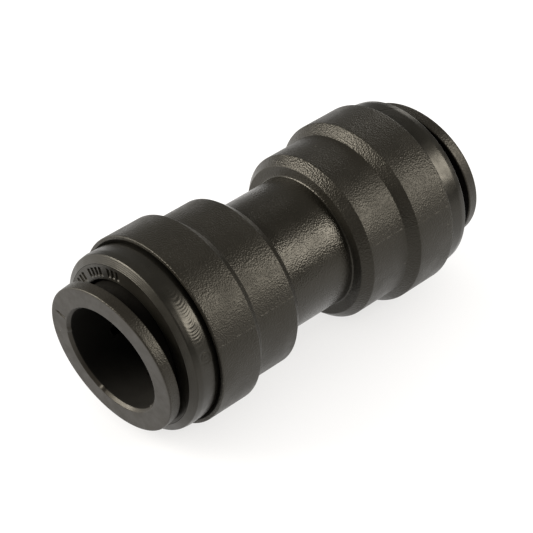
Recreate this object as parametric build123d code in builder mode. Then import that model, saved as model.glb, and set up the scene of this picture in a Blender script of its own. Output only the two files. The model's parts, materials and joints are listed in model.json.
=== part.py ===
from build123d import *
from math import cos, radians, sin
import os

# A straight push-fit coupling for 15 mm tube. The tube axis is X, +Z is up, and the
# origin is the middle of the coupling. Every distance "x" is measured outwards from
# the middle, so one profile serves both ends.

os.makedirs("parts", exist_ok=True)

# Tube and waterway
TUBE_D = 15.0
SOCKET_R = TUBE_D / 2 + 0.1
WATERWAY_R = 6.2
STOP_X = 1.5
SOCKET_END_X = 7.6

# Body, outside
BODY_R = 13.5
RIM_X = 21.2
MOUTH_RING_X = 14.8
SEAL_RING_R = 12.2
SEAL_RING_X = 7.1
WAIST_R = 9.5
SHOULDER_X = 5.8
SHOULDER_R = 11.1
WAIST_FILLET = 1.1
EDGE_FILLET = 0.25

# Body, inside
SEAL_BORE_R = 10.3
SEAL_SEAT_X = 7.9
SOCKET_LEAD_R = 8.0
MOUTH_BORE_R = 12.3
MOUTH_STEP_X = 15.2
RIM_CHAMFER_X = 0.6
RIM_INNER_R = 13.0

# End cap, fixed in the body's mouth
CAP_FACE_X = 25.2
CAP_FACE_R = 11.4
CAP_EDGE_X = 24.6
CAP_R = 12.7
CAP_SHOULDER_X = 22.5
CAP_NECK_X = 21.3
CAP_SKIRT_R = MOUTH_BORE_R - 0.05
CAP_SKIRT_BORE_R = 11.05
CAP_INNER_X = MOUTH_STEP_X + 0.1
LIP_R = 9.3
LIP_INNER_X = 22.9
CAM_INNER_X = 20.4
LIP_CHAMFER = 0.2

# Collet, which leans in the cap's lip until a tube or a finger squares it
PIVOT_X = (CAP_FACE_X + LIP_INNER_X) / 2
FLANGE_X = 28.5
FLANGE_T = 1.7
FLANGE_R = 10.85
FLANGE_CHAMFER = 0.18
COLLET_BORE_R = SOCKET_R + 0.02
COLLET_LEAD_R = 8.0
COLLET_LEAD_L = 0.45
SLEEVE_R = 8.9
FINGER_TIP_X = 15.4
FINGER_TIP_R = 9.0
CAM_R = 9.85
CAM_START_X = 17.0
CAM_END_X = 19.6
CAM_FOOT_X = 21.4
FINGERS = 6
FINGER_SLOT_W = 1.2
FINGER_SLOT_END_X = 22.6
FINGER_SLOT_MID_R = (COLLET_BORE_R + CAM_R) / 2
FINGER_SLOT_DEPTH = CAM_R - COLLET_BORE_R + 2.0

# Stainless grip tooth, one in each finger, slanting inwards to its tip
TOOTH_TIP_X = 18.9
TOOTH_TIP_R = 7.54
TOOTH_ROOT_X = 20.1
TOOTH_ROOT_R = 8.6
TOOTH_T = 0.4
TOOTH_W = 3.0
TOOTH_CLEARANCE = 0.02
POCKET_OPEN = 0.3

# O-ring and the loose spacer ring between it and the fingers
O_RING_SECTION_R = 1.43
O_RING_X = 9.55
O_RING_R = 8.81
SPACER_IN_X = 12.9
SPACER_T = 1.2
SPACER_R = 10.15
SPACER_BORE_R = 7.85
SPACER_CHAMFER = 0.25

# Each end: its outward direction along X, where its collet leans in the YZ plane, and how far
ENDS = {
    "left": (-1, (-0.46, -0.89), 6.5),
    "right": (1, (0.75, 0.66), 7.5),
}


def straight_plane(outward):
    """Profile plane of an end: local X runs outwards along the tube axis, local Y is the radius."""
    return Plane(origin=(0, 0, 0), x_dir=(outward, 0, 0), z_dir=(0, -1, 0))


def leaning_plane(outward, lean, degrees):
    """Profile plane of a collet, turned about the middle of the cap's lip."""
    lean_dir = Vector(0, *lean).normalized()
    straight = Vector(outward, 0, 0)
    axis = straight * cos(radians(degrees)) + lean_dir * sin(radians(degrees))
    origin = straight * PIVOT_X - axis * PIVOT_X
    return Plane(origin=origin, x_dir=axis, z_dir=straight.cross(lean_dir))


def axis_of(plane):
    return Axis(plane.origin, plane.x_dir)


def across(plane, x):
    """Plane square to the profile plane's axis, x outwards from the middle."""
    return Plane(origin=plane.origin + plane.x_dir * x, x_dir=plane.y_dir, z_dir=plane.x_dir)


def turned(plane, angle):
    """The profile plane, turned about its own axis."""
    return Plane(origin=plane.origin, x_dir=plane.x_dir, z_dir=plane.z_dir.rotate(axis_of(plane), angle))


def save(piece, name):
    piece.label = name
    export_step(piece, f"parts/{name}.step")


def outline(points):
    """A closed face through the points, inside the current sketch."""
    with BuildLine() as edge_line:
        Polyline(*points, close=True)
    make_face(edge_line.edges())


def tooth_outline(clearance, tip_open):
    """The tooth's slanting plate, grown by the clearance, and by tip_open past its tip."""
    slant = (Vector(TOOTH_ROOT_X, TOOTH_ROOT_R) - Vector(TOOTH_TIP_X, TOOTH_TIP_R)).normalized()
    side = Vector(-slant.Y, slant.X) * (TOOTH_T / 2 + clearance)
    tip = Vector(TOOTH_TIP_X, TOOTH_TIP_R) - slant * tip_open
    root = Vector(TOOTH_ROOT_X, TOOTH_ROOT_R) + slant * clearance
    corners = (tip - side, root - side, root + side, tip + side)
    return [(corner.X, corner.Y) for corner in corners]


# Body: socket and stop in the middle, a ring round each seal, a wider ring at each mouth
OUTER_HALF = [
    (SHOULDER_X, WAIST_R),
    (SHOULDER_X, SHOULDER_R),
    (SEAL_RING_X, SEAL_RING_R),
    (MOUTH_RING_X - (BODY_R - SEAL_RING_R), SEAL_RING_R),
    (MOUTH_RING_X, BODY_R),
    (RIM_X, BODY_R),
]
INNER_HALF = [
    (RIM_X, RIM_INNER_R),
    (RIM_X - RIM_CHAMFER_X, MOUTH_BORE_R),
    (MOUTH_STEP_X, MOUTH_BORE_R),
    (MOUTH_STEP_X, SEAL_BORE_R),
    (SEAL_SEAT_X, SEAL_BORE_R),
    (SEAL_SEAT_X, SOCKET_LEAD_R),
    (SOCKET_END_X, SOCKET_R),
    (STOP_X, SOCKET_R),
    (STOP_X, WATERWAY_R),
]
HALF = OUTER_HALF + INNER_HALF

with BuildPart() as body:
    with BuildSketch(Plane.XZ) as body_profile:
        outline(HALF + [(-x, r) for x, r in reversed(HALF)])
        waist_corners = [
            vertex
            for vertex in body_profile.vertices()
            if abs(abs(vertex.X) - SHOULDER_X) < 0.01 and abs(vertex.Y - WAIST_R) < 0.01
        ]
        rim_corners = [
            vertex
            for vertex in body_profile.vertices()
            if abs(abs(vertex.X) - RIM_X) < 0.01 and abs(vertex.Y - BODY_R) < 0.01
        ]
        fillet(waist_corners, WAIST_FILLET)
        fillet(rim_corners, EDGE_FILLET)
    revolve(axis=Axis.X)
save(body.part, "body")

for end, (outward, lean, lean_degrees) in ENDS.items():
    straight = straight_plane(outward)
    leaning = leaning_plane(outward, lean, lean_degrees)

    # End cap: skirt in the mouth, cam cone inside, and a lip that keeps the collet in
    with BuildPart() as end_cap:
        with BuildSketch(straight):
            outline(
                [
                    (CAP_INNER_X, CAP_SKIRT_BORE_R),
                    (CAM_INNER_X, CAP_SKIRT_BORE_R),
                    (LIP_INNER_X, LIP_R),
                    (CAP_FACE_X - LIP_CHAMFER, LIP_R),
                    (CAP_FACE_X, LIP_R + LIP_CHAMFER),
                    (CAP_FACE_X, CAP_FACE_R),
                    (CAP_EDGE_X, CAP_R),
                    (CAP_SHOULDER_X, CAP_R),
                    (CAP_NECK_X, CAP_SKIRT_R),
                    (CAP_INNER_X, CAP_SKIRT_R),
                ]
            )
        revolve(axis=axis_of(straight))
    save(end_cap.part, f"{end}_end_cap")

    # O-ring, seated behind the tube socket
    with BuildPart() as o_ring:
        with BuildSketch(straight):
            with Locations((O_RING_X, O_RING_R)):
                Circle(O_RING_SECTION_R)
        revolve(axis=axis_of(straight))
    save(o_ring.part, f"{end}_o_ring")

    # Spacer ring, loose between the O-ring and the collet's fingers
    with BuildPart() as spacer:
        with BuildSketch(straight):
            outline(
                [
                    (SPACER_IN_X, SPACER_BORE_R),
                    (SPACER_IN_X + SPACER_T - SPACER_CHAMFER, SPACER_BORE_R),
                    (SPACER_IN_X + SPACER_T, SPACER_BORE_R + SPACER_CHAMFER),
                    (SPACER_IN_X + SPACER_T, SPACER_R),
                    (SPACER_IN_X + SPACER_CHAMFER, SPACER_R),
                    (SPACER_IN_X, SPACER_R - SPACER_CHAMFER),
                ]
            )
        revolve(axis=axis_of(straight))
    save(spacer.part, f"{end}_spacer_ring")

    # Collet: press flange outside the cap, sleeve through the lip, fingers with cams inside
    with BuildPart() as collet:
        with BuildSketch(leaning):
            outline(
                [
                    (FINGER_TIP_X, COLLET_BORE_R),
                    (FLANGE_X - COLLET_LEAD_L, COLLET_BORE_R),
                    (FLANGE_X, COLLET_LEAD_R),
                    (FLANGE_X, FLANGE_R - FLANGE_CHAMFER),
                    (FLANGE_X - FLANGE_CHAMFER, FLANGE_R),
                    (FLANGE_X - FLANGE_T + FLANGE_CHAMFER, FLANGE_R),
                    (FLANGE_X - FLANGE_T, FLANGE_R - FLANGE_CHAMFER),
                    (FLANGE_X - FLANGE_T, SLEEVE_R),
                    (CAM_FOOT_X, SLEEVE_R),
                    (CAM_END_X, CAM_R),
                    (CAM_START_X, CAM_R),
                    (FINGER_TIP_X, FINGER_TIP_R),
                ]
            )
        revolve(axis=axis_of(leaning))
        with BuildSketch(across(leaning, FINGER_TIP_X)):
            with PolarLocations(FINGER_SLOT_MID_R, FINGERS, start_angle=180 / FINGERS):
                Rectangle(FINGER_SLOT_DEPTH, FINGER_SLOT_W)
        extrude(amount=FINGER_SLOT_END_X - FINGER_TIP_X, mode=Mode.SUBTRACT)
        for finger in range(FINGERS):
            with BuildSketch(turned(leaning, finger * 360 / FINGERS)):
                outline(tooth_outline(TOOTH_CLEARANCE, POCKET_OPEN))
            extrude(amount=TOOTH_W / 2 + TOOTH_CLEARANCE, both=True, mode=Mode.SUBTRACT)
    save(collet.part, f"{end}_collet")

    # Grip teeth, one plate in the pocket of each finger
    for finger in range(FINGERS):
        with BuildPart() as tooth:
            with BuildSketch(turned(leaning, finger * 360 / FINGERS)):
                outline(tooth_outline(0, 0))
            extrude(amount=TOOTH_W / 2, both=True)
        save(tooth.part, f"{end}_grip_tooth_{finger + 1}")
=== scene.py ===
import json
import math

import bmesh
import bpy
from mathutils import Matrix, Vector


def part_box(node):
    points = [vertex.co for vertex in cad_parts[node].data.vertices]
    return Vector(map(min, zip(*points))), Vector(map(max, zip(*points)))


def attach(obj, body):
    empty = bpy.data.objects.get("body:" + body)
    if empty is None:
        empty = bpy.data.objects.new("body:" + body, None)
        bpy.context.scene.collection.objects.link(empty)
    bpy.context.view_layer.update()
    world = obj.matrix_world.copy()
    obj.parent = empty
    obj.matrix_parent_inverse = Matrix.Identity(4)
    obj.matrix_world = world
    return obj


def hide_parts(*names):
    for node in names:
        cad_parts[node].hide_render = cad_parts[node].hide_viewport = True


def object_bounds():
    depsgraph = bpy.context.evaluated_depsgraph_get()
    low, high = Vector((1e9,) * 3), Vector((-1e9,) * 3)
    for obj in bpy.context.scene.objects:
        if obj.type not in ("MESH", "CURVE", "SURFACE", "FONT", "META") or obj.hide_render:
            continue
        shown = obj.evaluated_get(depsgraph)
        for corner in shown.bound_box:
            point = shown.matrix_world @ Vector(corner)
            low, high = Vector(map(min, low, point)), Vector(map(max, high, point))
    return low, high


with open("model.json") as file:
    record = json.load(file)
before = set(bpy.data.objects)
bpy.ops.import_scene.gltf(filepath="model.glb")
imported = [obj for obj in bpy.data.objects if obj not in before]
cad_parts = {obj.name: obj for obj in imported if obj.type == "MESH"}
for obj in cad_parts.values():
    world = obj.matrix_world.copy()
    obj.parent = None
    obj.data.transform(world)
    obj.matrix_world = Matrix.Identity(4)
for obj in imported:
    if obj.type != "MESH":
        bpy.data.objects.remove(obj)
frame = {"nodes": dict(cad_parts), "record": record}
CAD_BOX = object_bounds()

# Lengths are in millimetres up to the studio, which is in metres like the frame
MM = 0.001
TAU = 2 * math.pi

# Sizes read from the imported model, in millimetres outwards from the middle of the coupling
RIM_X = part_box("body")[1].x / MM
BODY_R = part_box("body")[1].z / MM
CAP_FACE_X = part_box("right_end_cap")[1].x / MM
CAP_INNER_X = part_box("right_end_cap")[0].x / MM
CAP_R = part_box("right_end_cap")[1].z / MM

# Body moulding
WAIST_R = 9.5
SHOULDER_X = 5.8
SHOULDER_R = 11.1
SEAL_RING_X = 7.1
SEAL_RING_R = 12.2
MOUTH_RING_X = 14.8
RING_STEP = BODY_R - SEAL_RING_R
RIM_INNER_R = 13.0
RIM_CHAMFER = 0.6
MOUTH_BORE_R = 12.3
MOUTH_STEP_X = 15.2
SEAL_BORE_R = 10.3
SEAL_SEAT_X = 7.9
SOCKET_LEAD_R = 8.0
SOCKET_END_X = 7.6
SOCKET_R = 7.6
STOP_X = 1.5
WATERWAY_R = 6.2

# End cap
CAP_SKIRT_R = 12.25
CAP_SKIRT_BORE_R = 11.05
CAP_CONE_X = 20.4
CAP_NECK_X = 21.3
CAP_NECK_R = 12.5
CAP_NECK_L = 0.6
CAP_SHOULDER_X = 21.8
CAP_SHOULDER_DROP = 0.09
CAP_CREST_L = 0.8
CAP_EDGE_DROP = 0.12
CAP_EDGE_L = 0.6
CAP_EDGE_X = CAP_FACE_X - CAP_EDGE_L
CAP_BAND_R = 11.4
LIP_R = 9.3
LIP_INNER_X = 22.9

# Collet
FLANGE_X = 28.5
FLANGE_T = 1.7
FLANGE_R = 10.85
SLEEVE_R = 8.9
BORE_R = 7.62
LEAD_R = 8.0
LEAD_L = 0.45
FINGER_TIP_X = 15.4
FINGER_TIP_R = 9.0
CAM_R = 9.85
CAM_START_X = 17.0
CAM_END_X = 19.6
CAM_FOOT_X = 21.4
SLOT_END_X = 22.6
SLOT_W = 1.2
FINGERS = 6

# A point that is this close to a surface counts as on it
TOUCHING = 0.01
CLOSE = 0.02
NEAR = 0.05


# ---------------------------------------------------------------- outlines

ARC_STEPS = 5
FILLET_SHARE = 0.49


def rounded(corners, longest):
    """Dense closed outline through (x, r, fillet) corners, with arcs at the fillets and short steps."""
    line = []
    for i, (x, r, fillet) in enumerate(corners):
        here = Vector((x, r))
        if fillet == 0:
            line.append(here)
            continue
        before = Vector(corners[i - 1][:2]) - here
        after = Vector(corners[(i + 1) % len(corners)][:2]) - here
        half = before.angle(after) / 2
        reach = min(fillet / math.tan(half), before.length * FILLET_SHARE, after.length * FILLET_SHARE)
        start = here + before.normalized() * reach
        end = here + after.normalized() * reach
        middle = here + (before.normalized() + after.normalized()).normalized() * (reach / math.cos(half))
        radius = reach * math.tan(half)
        turn = (end - middle).angle_signed(start - middle)
        for step in range(ARC_STEPS + 1):
            spoke = start - middle
            spoke.rotate(Matrix.Rotation(turn * step / ARC_STEPS, 2))
            line.append(middle + spoke.normalized() * radius)
    dense = []
    for a, b in zip(line, line[1:] + line[:1]):
        pieces = max(1, math.ceil((b - a).length / longest))
        dense.extend(a.lerp(b, k / pieces) for k in range(pieces))
    return dense


def round_angles(count, fine_at, fine_reach, fine_count):
    """Even angles round the axis, with extra ones bunched about the given angles."""
    angles = {round(TAU * k / count, 6) for k in range(count)}
    for centre in fine_at:
        for k in range(-fine_count, fine_count + 1):
            angles.add(round((centre + fine_reach * k / fine_count) % TAU, 6))
    return sorted(angles)


def gap_angle(a, b):
    """The signed angle from b to a, the short way round."""
    return (a - b + math.pi) % TAU - math.pi


def bump_at(distance, width):
    """1 at no distance, falling smoothly to 0 past the width."""
    return math.exp(-((distance / width) ** 2))


def soft_step(value, low, high):
    """0 below low, 1 above high and smooth between."""
    share = min(max((value - low) / (high - low), 0.0), 1.0)
    return share * share * (3 - 2 * share)


# ---------------------------------------------------------------- meshes

def lathe(name, outline, angles, place, shape, materials, body):
    """Turns a closed outline of (x, r) in mm round the axis.

    shape(x, r, angle) gives the moved (x, r), and place turns (x, y, z) in mm into a point of the frame.
    """
    rows, cols = len(outline), len(angles)
    verts = []
    for corner in outline:
        for angle in angles:
            x, r = shape(corner.x, corner.y, angle)
            verts.append(place(Vector((x, r * math.cos(angle), r * math.sin(angle)))))
    faces = []
    for j in range(rows):
        below, above = j * cols, ((j + 1) % rows) * cols
        for i in range(cols):
            k = (i + 1) % cols
            faces.append((below + i, below + k, above + k, above + i))
    mesh = bpy.data.meshes.new(name)
    mesh.from_pydata(verts, [], faces)
    mesh.validate()
    mesh.polygons.foreach_set("use_smooth", [True] * len(mesh.polygons))
    for material in materials:
        mesh.materials.append(material)
    piece = bpy.data.objects.new(name, mesh)
    bpy.context.scene.collection.objects.link(piece)
    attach(piece, body)
    outward_normals(piece)
    return piece


def straight(outward):
    """Places a piece of one end, with x outwards; the angle about the axis stays the frame's own."""
    return lambda point: Vector((outward * point.x, point.y, point.z)) * MM


def outward_normals(piece):
    """Turns every face to look away from the solid."""
    mesh = bmesh.new()
    mesh.from_mesh(piece.data)
    bmesh.ops.recalc_face_normals(mesh, faces=mesh.faces)
    mesh.to_mesh(piece.data)
    mesh.free()


def even_shading(piece):
    """Flat stretches shade flat beside their rounded edges."""
    weighted = piece.modifiers.new("even_shading", "WEIGHTED_NORMAL")
    weighted.keep_sharp = True
    weighted.weight = 80


# ---------------------------------------------------------------- materials

WARM = (1.0, 0.93, 0.79, 1.0)
ACETAL_GLOSS = 0.36
DUST_COVER = 0.5
GRAIN_DUST = (0.16, 0.15, 0.12, 1.0)
SATIN_DUST = (0.15, 0.14, 0.12, 1.0)


class Nodes:
    """Short hand for building one material's node tree. Sizes and heights are in mm."""

    def __init__(self, name):
        self.material = bpy.data.materials.new(name)
        self.material.use_nodes = True
        self.tree = self.material.node_tree
        self.shader = self.tree.nodes["Principled BSDF"]
        coords = self.tree.nodes.new("ShaderNodeTexCoord")
        self.place = coords.outputs["Object"]

    def add(self, kind, inputs=(), **settings):
        node = self.tree.nodes.new(kind)
        for key, value in settings.items():
            setattr(node, key, value)
        for socket, value in inputs:
            self.feed(node.inputs[socket], value)
        return node

    def feed(self, socket, value):
        if isinstance(value, bpy.types.NodeSocket):
            self.tree.links.new(value, socket)
        else:
            socket.default_value = value

    def surface(self, **values):
        """Sets the shader's own sockets: base_color=... is its Base Color."""
        for name, value in values.items():
            self.feed(self.shader.inputs[name.replace("_", " ").title()], value)

    def gloss(self, level):
        self.shader.inputs["Specular IOR Level"].default_value = level
        self.shader.inputs["Specular Tint"].default_value = WARM

    def noise(self, size, detail, rough=0.5, stretch=None):
        place = self.place
        if stretch:
            place = self.add("ShaderNodeMapping", [("Vector", place), ("Scale", stretch)]).outputs[0]
        inputs = [("Vector", place), ("Scale", 1 / (size * MM)), ("Detail", detail), ("Roughness", rough)]
        return self.add("ShaderNodeTexNoise", inputs).outputs["Fac"]

    def cells(self, size):
        """Voronoi cells: outputs Distance, from the cell's middle, and Color, one for each cell."""
        inputs = [("Vector", self.place), ("Scale", 1 / (size * MM))]
        return self.add("ShaderNodeTexVoronoi", inputs).outputs

    def ramp(self, value, low, high, out_low=0.0, out_high=1.0, smooth=True):
        """Runs from out_low, where the value is low, to out_high, where it is high."""
        inputs = [("Value", value), ("From Min", low), ("From Max", high)]
        inputs += [("To Min", out_low), ("To Max", out_high)]
        kind = "SMOOTHSTEP" if smooth else "LINEAR"
        return self.add("ShaderNodeMapRange", inputs, interpolation_type=kind).outputs[0]

    def math(self, operation, a, b=0.0):
        return self.add("ShaderNodeMath", [(0, a), (1, b)], operation=operation).outputs[0]

    def times(self, a, b):
        return self.math("MULTIPLY", a, b)

    def mix(self, factor, a, b):
        """Between two colours, which are the mix node's inputs 6 and 7 and its output 2."""
        return self.add("ShaderNodeMix", [(0, factor), (6, a), (7, b)], data_type="RGBA").outputs[2]

    def specks(self, cell, size, share):
        """1 inside sparse specks: in a share of the cells, one round speck each."""
        cells = self.cells(cell)
        near = self.ramp(cells["Distance"], low=size / cell, high=0.5 * size / cell)
        draw = self.add("ShaderNodeSeparateColor", [(0, cells["Color"])]).outputs[0]
        return self.times(near, self.math("GREATER_THAN", draw, 1 - share))

    def bump(self, height, distance, over=None):
        inputs = [("Height", height), ("Distance", distance * MM), ("Strength", 1.0)]
        if over is not None:
            inputs.append(("Normal", over))
        return self.add("ShaderNodeBump", inputs).outputs[0]


def shade(colour, factor):
    """The colour made darker or lighter, with an alpha of 1."""
    return tuple(c * factor for c in colour) + (1.0,)


def moulded_plastic(name, colour, rough, grain, grain_height):
    """Black acetal with a spark-eroded grain, cloudy wear and a little dust."""
    nodes = Nodes(name)
    nodes.gloss(ACETAL_GLOSS)
    cloud = nodes.ramp(nodes.noise(size=7.0, detail=3.0), low=0.35, high=0.65)
    mottle = nodes.ramp(nodes.noise(size=1.4 * grain, detail=2.0), low=0.35, high=0.65)
    base = nodes.mix(cloud, shade(colour, 0.92), shade(colour, 1.10))
    base = nodes.mix(nodes.times(mottle, 0.3), base, shade(colour, 1.45))
    dust = nodes.times(nodes.specks(cell=2.3, size=0.13, share=0.45), DUST_COVER)
    wear = nodes.noise(size=4.0, detail=4.0, rough=0.6)
    pits = nodes.cells(grain)["Distance"]
    fine = nodes.noise(size=0.9 * grain, detail=0.0)
    height = nodes.math("ADD", pits, nodes.times(fine, 0.5))
    nodes.surface(
        base_color=nodes.mix(dust, base, GRAIN_DUST),
        roughness=nodes.ramp(wear, low=0.3, high=0.7, out_low=rough - 0.06, out_high=rough + 0.06),
        normal=nodes.bump(height, grain_height),
    )
    return nodes.material


def turning_lines(nodes, spacing):
    """Even rings round the tube axis, as a turned mould leaves them."""
    split = nodes.add("ShaderNodeSeparateXYZ", [(0, nodes.place)])
    y, z = split.outputs[1], split.outputs[2]
    radius = nodes.math("SQRT", nodes.math("ADD", nodes.times(y, y), nodes.times(z, z)))
    return nodes.math("SINE", nodes.times(nodes.times(radius, 1 / (spacing * MM)), TAU))


def smooth_plastic(name, colour, rough, wave_height, level=ACETAL_GLOSS, turned=0.0):
    """Acetal off polished steel, with slow waves, and turning lines of the height given by turned."""
    nodes = Nodes(name)
    nodes.gloss(level)
    cloud = nodes.ramp(nodes.noise(size=5.0, detail=3.0), low=0.3, high=0.7)
    base = nodes.mix(cloud, shade(colour, 0.9), shade(colour, 1.15))
    dust = nodes.times(nodes.specks(cell=4.0, size=0.12, share=0.25), DUST_COVER)
    wear = nodes.noise(size=1.8, detail=5.0, rough=0.65)
    waves = nodes.noise(size=2.2, detail=2.0)
    skin = nodes.noise(size=0.25, detail=2.0, rough=0.6)
    normal = nodes.bump(nodes.math("ADD", waves, nodes.times(skin, 0.12)), wave_height)
    if turned:
        normal = nodes.bump(turning_lines(nodes, spacing=0.22), turned, over=normal)
    nodes.surface(
        base_color=nodes.mix(dust, base, SATIN_DUST),
        roughness=nodes.ramp(wear, low=0.3, high=0.7, out_low=rough - 0.05, out_high=rough + 0.08),
        normal=normal,
    )
    return nodes.material


def steel(name):
    """Stamped stainless strip with fine rolling lines."""
    nodes = Nodes(name)
    lines = nodes.noise(size=0.15, detail=3.0, rough=0.6, stretch=(1.0, 0.08, 0.08))
    nodes.surface(
        metallic=1.0,
        base_color=nodes.mix(lines, (0.42, 0.41, 0.39, 1.0), (0.66, 0.65, 0.62, 1.0)),
        roughness=nodes.ramp(lines, low=0.3, high=0.7, out_low=0.22, out_high=0.38),
        normal=nodes.bump(lines, 0.004),
    )
    return nodes.material


def rubber(name):
    """Matt black seal rubber with a dusty bloom."""
    nodes = Nodes(name)
    bloom = nodes.ramp(nodes.noise(size=1.2, detail=4.0, rough=0.6), low=0.4, high=0.75)
    nodes.surface(
        base_color=nodes.mix(bloom, (0.012, 0.012, 0.012, 1.0), (0.03, 0.03, 0.03, 1.0)),
        roughness=nodes.ramp(bloom, low=0.0, high=1.0, out_low=0.5, out_high=0.7),
        normal=nodes.bump(nodes.noise(size=0.12, detail=3.0), 0.012),
    )
    return nodes.material


BODY_BLACK = (0.0100, 0.0088, 0.0064)
CHAMFER_BLACK = (0.0115, 0.0102, 0.0076)
FLANGE_BLACK = (0.0115, 0.0100, 0.0076)
CAP_BLACK = (0.0085, 0.0078, 0.0062)

# Grained plastic: colour, roughness, size of the grain and its height
BODY_GRAIN = moulded_plastic("body_grain", BODY_BLACK, 0.42, 0.23, 0.037)
CHAMFER_GRAIN = moulded_plastic("chamfer_grain", CHAMFER_BLACK, 0.36, 0.23, 0.048)
WAIST_GRAIN = moulded_plastic("waist_grain", BODY_BLACK, 0.28, 0.22, 0.028)
COLLET_GRAIN = moulded_plastic("collet_grain", FLANGE_BLACK, 0.40, 0.23, 0.028)

# Smooth plastic: colour, roughness and height of its waves
INNER_SATIN = smooth_plastic("inner_satin", (0.009, 0.0082, 0.0066), 0.42, 0.006)
CAP_GLOSS = smooth_plastic("cap_gloss", CAP_BLACK, 0.28, 0.014)
CAP_WORN = smooth_plastic("cap_worn", CAP_BLACK, 0.31, 0.014)
CAP_BAND = smooth_plastic("cap_band", (0.0095, 0.0085, 0.0064), 0.33, 0.010, turned=0.0035)
COLLET_SATIN = smooth_plastic("collet_satin", (0.0096, 0.0077, 0.0056), 0.40, 0.008)
# Painted shade: the sleeve between the flange and the cap is made darker and less glossy than the collet,
# standing in for the shadow that falls there
SLEEVE_PAINTED_SHADE = smooth_plastic("sleeve_painted_shade", (0.0045, 0.0040, 0.0033), 0.50, 0.010, level=0.09)
BORE_SATIN = smooth_plastic("bore_satin", (0.0075, 0.0070, 0.0062), 0.60, 0.012, level=0.12)
SPACER_SATIN = smooth_plastic("spacer_satin", (0.015, 0.015, 0.014), 0.45, 0.008)

SEAL_RUBBER = rubber("seal_rubber")
GRIP_STEEL = steel("grip_steel")


# ---------------------------------------------------------------- body

BODY_HALF = [
    (SHOULDER_X, WAIST_R, 0.25),
    (SHOULDER_X, SHOULDER_R, 0.18),
    (SEAL_RING_X, SEAL_RING_R, 0.14),
    (MOUTH_RING_X - RING_STEP, SEAL_RING_R, 0.25),
    (MOUTH_RING_X, BODY_R, 0.16),
    (RIM_X, BODY_R, 0.16),
    (RIM_X, RIM_INNER_R, 0.08),
    (RIM_X - RIM_CHAMFER, MOUTH_BORE_R, 0.1),
    (MOUTH_STEP_X, MOUTH_BORE_R, 0.0),
    (MOUTH_STEP_X, SEAL_BORE_R, 0.15),
    (SEAL_SEAT_X, SEAL_BORE_R, 0.3),
    (SEAL_SEAT_X, SOCKET_LEAD_R, 0.1),
    (SOCKET_END_X, SOCKET_R, 0.1),
    (STOP_X, SOCKET_R, 0.15),
    (STOP_X, WATERWAY_R, 0.15),
]
BODY_CORNERS = BODY_HALF + [(-x, r, fillet) for x, r, fillet in reversed(BODY_HALF)]

# The sink of a thick moulding, and how much it varies round the axis and along it
SINK = 0.045
SINK_SWING = 0.01
SINK_TWIST = 0.1

# The mould's split line runs along the body at this angle round the axis, and opposite
SPLIT_ANGLE = math.radians(158.5)
SPLIT_HEIGHT = 0.04
SPLIT_WIDTH = 0.075
SPLIT_FADE = 0.4
SPLIT_WAVE = 3.1
SPLIT_WAVE_START = 0.7

# The body's materials, in their order on the mesh, and how far clear of an edge they change
OUTSIDE, WAIST, INSIDE, CHAMFER = range(4)
EDGE_CLEARANCE = 0.1
INSIDE_CLEARANCE = 0.3


def body_shape(x, r, angle):
    """A fine split line on the outer rings, and the slight sink of a thick moulding, outside only."""
    if r < WAIST_R - TOUCHING or (abs(x) > SOCKET_END_X and r < SEAL_RING_R - TOUCHING):
        return x, r
    inset = SINK + SINK_SWING * math.cos(2 * angle + SINK_TWIST * x)
    if r > SHOULDER_R:
        off_line = min(abs(gap_angle(angle, SPLIT_ANGLE)), abs(gap_angle(angle, SPLIT_ANGLE + math.pi))) * r
        strength = 1 - SPLIT_FADE + SPLIT_FADE * math.sin(SPLIT_WAVE * x + SPLIT_WAVE_START)
        inset -= SPLIT_HEIGHT * strength * bump_at(off_line, SPLIT_WIDTH)
    return x, r - inset


def body_material(x, r):
    """The material of a face, by its distance from the middle along the axis and its radius."""
    if r < WAIST_R - INSIDE_CLEARANCE or (r < RIM_INNER_R + EDGE_CLEARANCE and x > MOUTH_RING_X):
        return INSIDE
    if SHOULDER_X + EDGE_CLEARANCE < x < SEAL_RING_X or MOUTH_RING_X - RING_STEP < x < MOUTH_RING_X:
        return CHAMFER
    return WAIST if x < SHOULDER_X else OUTSIDE


def make_body():
    outline = rounded(BODY_CORNERS, longest=0.6)
    both_lines = (SPLIT_ANGLE, SPLIT_ANGLE + math.pi)
    angles = round_angles(count=360, fine_at=both_lines, fine_reach=0.02, fine_count=8)
    materials = (BODY_GRAIN, WAIST_GRAIN, INNER_SATIN, CHAMFER_GRAIN)
    shell = lathe("body_shell", outline, angles, straight(1), body_shape, materials, "fitting")
    for face in shell.data.polygons:
        x, y, z = face.center / MM
        face.material_index = body_material(abs(x), math.hypot(y, z))
    even_shading(shell)
    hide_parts("body")


# ---------------------------------------------------------------- end caps

CAP_CORNERS = [
    (CAP_INNER_X, CAP_SKIRT_BORE_R, 0.1),
    (CAP_CONE_X, CAP_SKIRT_BORE_R, 0.3),
    (LIP_INNER_X, LIP_R, 0.3),
    (CAP_FACE_X, LIP_R, 0.2),
    (CAP_FACE_X, CAP_BAND_R, 0.12),
    (CAP_EDGE_X, CAP_R - CAP_EDGE_DROP, 0.2),
    (CAP_EDGE_X - CAP_CREST_L, CAP_R, 2.0),
    (CAP_SHOULDER_X, CAP_R - CAP_SHOULDER_DROP, 0.8),
    (CAP_NECK_X, CAP_NECK_R, 0.15),
    (CAP_NECK_X - CAP_NECK_L, CAP_SKIRT_R, 0.1),
    (CAP_INNER_X, CAP_SKIRT_R, 0.1),
]

# A cap's surfaces move this far towards the axis from its outline, and its face this far back
CAP_INSET = 0.02

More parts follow.
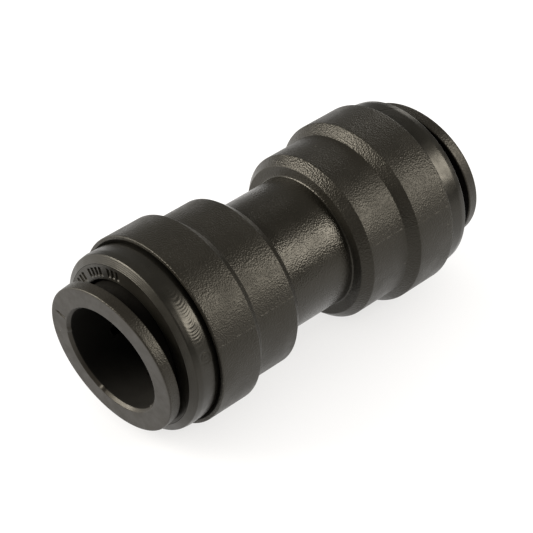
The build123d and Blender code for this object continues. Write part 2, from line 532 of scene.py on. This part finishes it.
# Plain engraved ticks round the cap's face, at even angles, with every fifth one left out. A tick is
# deep to CORE from its middle line and gone at EDGE, in shares of the ticks' spacing.
TICKS_FROM = math.radians(24)
TICKS_TO = math.radians(82)
TICKS = 13
TICK_GROUP = 5
TICK_INNER_R = 9.75
TICK_OUTER_R = 11.0
TICK_CORE = 0.18
TICK_EDGE = 0.34
TICK_END = 0.15
LEFT_TICK_DEPTH = 0.17
RIGHT_TICK_DEPTH = 0.13

# The gate's scar on the left cap: shallow rings as (radius, width, depth)
GATE_X = 22.7
GATE_ANGLE = math.radians(161)
GATE_RINGS = ((0.75, 0.16, 0.035), (0.3, 0.12, 0.02))

# Flow marks beside the gate: where they lie, and how their ripples bend, waver and vary
FAN_ANGLE = math.radians(138)
FAN_OFFSET = 0.05
FAN_SPREAD = 3.0
FAN_WIDTH = 0.7
RIPPLE_SPACING = 0.5
RIPPLE_HEIGHT = 0.019
RIPPLE_BEND = 0.5
RIPPLE_TILT = 0.35
RIPPLE_WAVER = 0.16
WAVER_RATE = 1.9
RIPPLE_VARIES = 0.4
VARIES_RATE = 1.3
VARIES_START = 0.4

# The crease on the right cap: (x, angle) at its two ends, and the shares of its length over which it
# starts and ends
CREASE_FROM = (21.9, math.radians(80))
CREASE_TO = (24.3, math.radians(87))
CREASE_DEPTH = 0.05
CREASE_WIDTH = 0.13
CREASE_START = (-0.1, 0.15)
CREASE_END = (0.85, 1.1)

# Each cap's materials, in their order on the mesh
CAP_SIDE, FACE_BAND = range(2)


def in_tick(r, angle):
    """1 inside an engraved tick of the cap's face, 0 outside."""
    place = (angle - TICKS_FROM) / (TICKS_TO - TICKS_FROM) * (TICKS - 1)
    nearest = round(place)
    if nearest < 0 or nearest > TICKS - 1 or nearest % TICK_GROUP == TICK_GROUP - 1:
        return 0.0
    across = abs(place - nearest)
    radial = min(r - TICK_INNER_R, TICK_OUTER_R - r)
    return (1 - soft_step(across, TICK_CORE, TICK_EDGE)) * soft_step(radial, 0.0, TICK_END)


def flow_marks(along, around, angle):
    """Depth of the bent ripples beside the gate; along and around are measured from the gate."""
    from_fan = gap_angle(angle, FAN_ANGLE) * CAP_R
    fan = bump_at(from_fan, FAN_SPREAD) * bump_at(along - FAN_OFFSET, FAN_WIDTH)
    waver = RIPPLE_WAVER * math.sin(WAVER_RATE * around)
    bent = around + RIPPLE_BEND * along * along - RIPPLE_TILT * along + waver
    ripple = 1 + math.sin(TAU * bent / RIPPLE_SPACING)
    varied = 1 + RIPPLE_VARIES * math.sin(VARIES_RATE * around + VARIES_START)
    return RIPPLE_HEIGHT * fan * ripple * varied


def left_cap_shape(x, r, angle):
    """The gate's small scar on the side with flow marks fanning out of it, and the ticks on the face."""
    if x > CAP_FACE_X - TOUCHING:
        return x - CAP_INSET - LEFT_TICK_DEPTH * in_tick(r, angle), r
    inset = CAP_INSET
    if r > CAP_SKIRT_R + NEAR and x < CAP_EDGE_X - NEAR:
        along = x - GATE_X
        around = gap_angle(angle, GATE_ANGLE) * CAP_R
        distance = math.hypot(along, around)
        for radius, width, depth in GATE_RINGS:
            inset += depth * bump_at(distance - radius, width)
        inset += flow_marks(along, around, angle)
    return x, r - inset


def right_cap_shape(x, r, angle):
    """A scuffed crease across the side, and the ticks on the face."""
    if x > CAP_FACE_X - TOUCHING:
        return x - CAP_INSET - RIGHT_TICK_DEPTH * in_tick(r, angle), r
    inset = CAP_INSET
    if r > CAP_SKIRT_R and x < CAP_EDGE_X:
        share = (x - CREASE_FROM[0]) / (CREASE_TO[0] - CREASE_FROM[0])
        on_line = CREASE_FROM[1] + (CREASE_TO[1] - CREASE_FROM[1]) * share
        off_line = gap_angle(angle, on_line) * CAP_R
        ends = soft_step(share, *CREASE_START) * (1 - soft_step(share, *CREASE_END))
        inset += CREASE_DEPTH * ends * bump_at(off_line, CREASE_WIDTH)
    return x, r - inset


def make_caps():
    outline = rounded(CAP_CORNERS, longest=0.12)
    details = (FAN_ANGLE, (TICKS_FROM + TICKS_TO) / 2)
    angles = round_angles(count=480, fine_at=details, fine_reach=0.56, fine_count=140)
    ends = (("left", -1, left_cap_shape, CAP_WORN), ("right", 1, right_cap_shape, CAP_GLOSS))
    for side, outward, shape, material in ends:
        materials = (material, CAP_BAND)
        cap = lathe(f"{side}_cap_shell", outline, angles, straight(outward), shape, materials, "fitting")
        for face in cap.data.polygons:
            on_band = abs(face.center.x) > (CAP_EDGE_X + NEAR) * MM
            face.material_index = FACE_BAND if on_band else CAP_SIDE
        even_shading(cap)
        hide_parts(f"{side}_end_cap")


# ---------------------------------------------------------------- collets

COLLET_CORNERS = [
    (FINGER_TIP_X, BORE_R, 0.2),
    (FLANGE_X - LEAD_L, BORE_R, 0.3),
    (FLANGE_X, LEAD_R, 0.12),
    (FLANGE_X, FLANGE_R, 0.2),
    (FLANGE_X - FLANGE_T, FLANGE_R, 0.2),
    (FLANGE_X - FLANGE_T, SLEEVE_R, 0.35),
    (CAM_FOOT_X, SLEEVE_R, 0.3),
    (CAM_END_X, CAM_R, 0.3),
    (CAM_START_X, CAM_R, 0.4),
    (FINGER_TIP_X, FINGER_TIP_R, 0.2),
]

# The grained edge of the flange starts this far inside its radius
FLANGE_RIM_T = 0.25

# The recessed mould mark on the left collet's press face: it is deep to CORE from its middle line,
# and gone at EDGE
MARK_ANGLE = math.radians(18)
MARK_INNER_R = 8.45
MARK_OUTER_R = 9.85
MARK_CORE = 0.12
MARK_EDGE = 0.26
MARK_END = 0.12
MARK_DEPTH = 0.16

# Flash left at three places of the left collet's bore, full to CORE and gone at EDGE
FLASH_ANGLES = [math.radians(degrees) for degrees in (3, -68, -145)]
FLASH_CORE = 0.15
FLASH_EDGE = 0.4
FLASH_HEIGHT = 0.12

# A slot cutter's faces, from its corners in the order x, radius, side, and how far it overshoots
CUTTER_QUADS = ((0, 1, 3, 2), (4, 6, 7, 5), (0, 4, 5, 1), (2, 3, 7, 6), (0, 2, 6, 4), (1, 5, 7, 3))
CUTTER_MARGIN = 1.0

# Each collet's materials, in their order on the mesh; the sleeve's one is painted shade
PRESS_FACE, FLANGE_RIM, BORE, SLEEVE = range(4)


def rock_of(side):
    """(pivot, turn) of a collet's lean at rest, from its rock joint in the record."""
    joint = next(j for j in frame["record"]["behaviour"]["joints"] if j["name"] == f"{side}_rock")
    pivot = Vector(joint["pos_m"])
    lean = math.radians(joint["range_deg"][1])
    turn = Matrix.Rotation(-lean, 3, Vector(joint["axis"]))
    return pivot, turn


def leaning(side, outward):
    """Places a collet's points, with x outwards, as it leans at rest."""
    pivot, turn = rock_of(side)
    return lambda point: pivot + turn @ (Vector((outward * point.x, point.y, point.z)) * MM - pivot)


def left_collet_shape(x, r, angle):
    """A small recessed mould mark on the press face, and flash left at three places of the bore's edge."""
    if x > FLANGE_X - TOUCHING:
        around = abs(gap_angle(angle, MARK_ANGLE)) * r
        radial = min(r - MARK_INNER_R, MARK_OUTER_R - r)
        x -= MARK_DEPTH * (1 - soft_step(around, MARK_CORE, MARK_EDGE)) * soft_step(radial, 0.0, MARK_END)
    if x > FLANGE_X - LEAD_L and r < LEAD_R + CLOSE:
        for flash_angle in FLASH_ANGLES:
            around = abs(gap_angle(angle, flash_angle)) * BORE_R
            r -= FLASH_HEIGHT * (1 - soft_step(around, FLASH_CORE, FLASH_EDGE))
    return x, r


def right_collet_shape(x, r, angle):
    """No marks."""
    return x, r


def collet_material(x, r):
    """The material of a face, by its distance from the middle along the axis and its radius."""
    rim_inner_r = FLANGE_R - FLANGE_RIM_T
    if x < FLANGE_X - FLANGE_T + CLOSE and BORE_R + NEAR < r < rim_inner_r:
        return SLEEVE
    if x < FLANGE_X - LEAD_L and r < BORE_R + NEAR:
        return BORE
    return FLANGE_RIM if x < FLANGE_X - NEAR and r > rim_inner_r else PRESS_FACE


def slot_cutter(place):
    """Six boxes that part the sprung fingers."""
    verts, faces = [], []
    for slot in range(FINGERS):
        middle = TAU * (slot + 0.5) / FINGERS
        along = Vector((0, math.cos(middle), math.sin(middle)))
        across = Vector((0, -math.sin(middle), math.cos(middle)))
        faces.extend([len(verts) + corner for corner in quad] for quad in CUTTER_QUADS)
        for x in (FINGER_TIP_X - CUTTER_MARGIN, SLOT_END_X):
            for radius in (BORE_R - CUTTER_MARGIN, CAM_R + CUTTER_MARGIN):
                for half in (-SLOT_W / 2, SLOT_W / 2):
                    verts.append(place(Vector((x, 0, 0)) + along * radius + across * half))
    mesh = bpy.data.meshes.new("slot_cutter")
    mesh.from_pydata(verts, [], faces)
    cutter = bpy.data.objects.new("slot_cutter", mesh)
    bpy.context.scene.collection.objects.link(cutter)
    outward_normals(cutter)
    return cutter


def cut_slots(collet, place):
    """Splits the inner end of the sleeve into sprung fingers."""
    cutter = slot_cutter(place)
    cut = collet.modifiers.new("slots", "BOOLEAN")
    cut.object = cutter
    cut.operation = "DIFFERENCE"
    cut.solver = "EXACT"
    bpy.context.view_layer.update()
    shaped = bpy.data.meshes.new_from_object(collet.evaluated_get(bpy.context.evaluated_depsgraph_get()))
    collet.modifiers.clear()
    collet.data = shaped
    bpy.data.objects.remove(cutter)


def make_collets():
    outline = rounded(COLLET_CORNERS, longest=0.25)
    angles = round_angles(count=288, fine_at=(MARK_ANGLE,), fine_reach=0.08, fine_count=16)
    materials = (COLLET_SATIN, COLLET_GRAIN, BORE_SATIN, SLEEVE_PAINTED_SHADE)
    for side, outward, shape in (("left", -1, left_collet_shape), ("right", 1, right_collet_shape)):
        place = leaning(side, outward)
        collet = lathe(f"{side}_collet_shell", outline, angles, place, shape, materials, f"{side}_collet")
        pivot, turn = rock_of(side)
        for face in collet.data.polygons:
            x, y, z = (turn.inverted() @ (face.center - pivot) + pivot) / MM
            face.material_index = collet_material(abs(x), math.hypot(y, z))
        cut_slots(collet, place)
        even_shading(collet)
        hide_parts(f"{side}_collet")


# ---------------------------------------------------------------- pieces kept from the CAD

def dress(node, material):
    """Gives a CAD piece its material."""
    slots = frame["nodes"][node].data.materials
    slots.clear()
    slots.append(material)


def dress_inner_pieces():
    for side in ("left", "right"):
        dress(f"{side}_o_ring", SEAL_RUBBER)
        dress(f"{side}_spacer_ring", SPACER_SATIN)
        for finger in range(1, FINGERS + 1):
            dress(f"{side}_grip_tooth_{finger}", GRIP_STEEL)


# ---------------------------------------------------------------- studio, in metres

FLOOR_HALF = 6.0
FLOOR_GAP = 0.0002
# The floor's glow, its share far out where the painted pool of light fades, and its share and reach in the
# painted contact shadow under the coupling
FLOOR_GLOW = 0.97
POOL_FAR_GLOW = 0.30
CONTACT_SHADOW_GLOW = 0.68
CONTACT_SHADOW_REACH = 0.022

WORLD_STRENGTH = 0.27
LIGHT_COLOUR = (1.0, 0.97, 0.91)
LIGHT_DISTANCE = 0.45

# Soft boxes: name, direction, width, height and brightness seen head on
LIGHTS = (
    ("key", (0.536, -0.667, 0.516), 0.20, 0.20, 13.0),
    ("back_left", (-0.655, 0.61, 0.44), 0.28, 0.28, 16.0),
    ("back_right", (0.84, 0.46, 0.28), 0.14, 0.20, 3.0),
)

# A long lens from the left, in front and above
CAMERA_AZIMUTH = math.radians(-43.62)
CAMERA_ELEVATION = math.radians(39.06)
CAMERA_DISTANCE = 0.25522
CAMERA_SLIDE_RIGHT = -0.000743
CAMERA_SLIDE_UP = -0.000972
CAMERA_LENS_MM = 128.8


def make_floor():
    """A white floor with an even glow, dimmed far out by a painted pool of light and close under the
    coupling by a painted contact shadow.
    """
    nodes = Nodes("studio_floor")
    far = nodes.add("ShaderNodeVectorMath", [(0, nodes.place)], operation="LENGTH").outputs["Value"]
    # Painted pool of light: the glow fades away from the middle of the floor
    painted_light_pool = nodes.ramp(far, low=0.07, high=0.26, out_low=1.0, out_high=POOL_FAR_GLOW)
    # Painted contact shadow: the glow dims where the floor is closed in under the coupling
    open_share = nodes.add("ShaderNodeAmbientOcclusion", [("Distance", CONTACT_SHADOW_REACH)]).outputs["AO"]
    painted_contact_shadow = nodes.ramp(open_share, low=0.0, high=1.0, out_low=CONTACT_SHADOW_GLOW, out_high=1.0, smooth=False)
    nodes.surface(
        base_color=(0.15, 0.15, 0.15, 1.0),
        roughness=0.9,
        emission_color=(1.0, 0.99, 0.98, 1.0),
        emission_strength=nodes.times(nodes.times(painted_light_pool, painted_contact_shadow), FLOOR_GLOW),
    )
    level = CAD_BOX[0].z - FLOOR_GAP
    corners = [(x * FLOOR_HALF, y * FLOOR_HALF, level) for x, y in ((-1, -1), (1, -1), (1, 1), (-1, 1))]
    mesh = bpy.data.meshes.new("studio_floor")
    mesh.from_pydata(corners, [], [(0, 1, 2, 3)])
    mesh.materials.append(nodes.material)
    floor = bpy.data.objects.new("studio_floor", mesh)
    bpy.context.scene.collection.objects.link(floor)


def soft_light(name, direction, width, height, radiance):
    """A soft box that faces the coupling from a direction."""
    data = bpy.data.lights.new(name, "AREA")
    data.shape = "RECTANGLE"
    data.size = width
    data.size_y = height
    data.energy = radiance * math.pi * width * height
    data.color = LIGHT_COLOUR
    light = bpy.data.objects.new(name, data)
    aim = Vector(direction).normalized()
    light.location = aim * LIGHT_DISTANCE
    light.rotation_euler = aim.to_track_quat("Z", "Y").to_euler()
    bpy.context.scene.collection.objects.link(light)


def make_world():
    world = bpy.data.worlds.new("studio")
    world.use_nodes = True
    background = world.node_tree.nodes["Background"]
    background.inputs["Color"].default_value = (1.0, 0.99, 0.97, 1.0)
    background.inputs["Strength"].default_value = WORLD_STRENGTH
    bpy.context.scene.world = world


def make_camera():
    level = math.cos(CAMERA_ELEVATION)
    back = Vector((
        math.sin(CAMERA_AZIMUTH) * level,
        -math.cos(CAMERA_AZIMUTH) * level,
        math.sin(CAMERA_ELEVATION),
    ))
    turn = back.to_track_quat("Z", "Y")
    data = bpy.data.cameras.new("camera")
    data.lens = CAMERA_LENS_MM
    data.sensor_width = 36.0
    data.clip_start = 0.01
    data.clip_end = 50.0
    camera = bpy.data.objects.new("camera", data)
    camera.rotation_mode = "QUATERNION"
    camera.rotation_quaternion = turn
    camera.location = back * CAMERA_DISTANCE + turn @ Vector((CAMERA_SLIDE_RIGHT, CAMERA_SLIDE_UP, 0))
    bpy.context.scene.collection.objects.link(camera)
    bpy.context.scene.camera = camera


make_body()
make_caps()
make_collets()
dress_inner_pieces()
make_floor()
make_world()
for light_values in LIGHTS:
    soft_light(*light_values)
make_camera()
bpy.context.scene.view_settings.view_transform = "Standard"
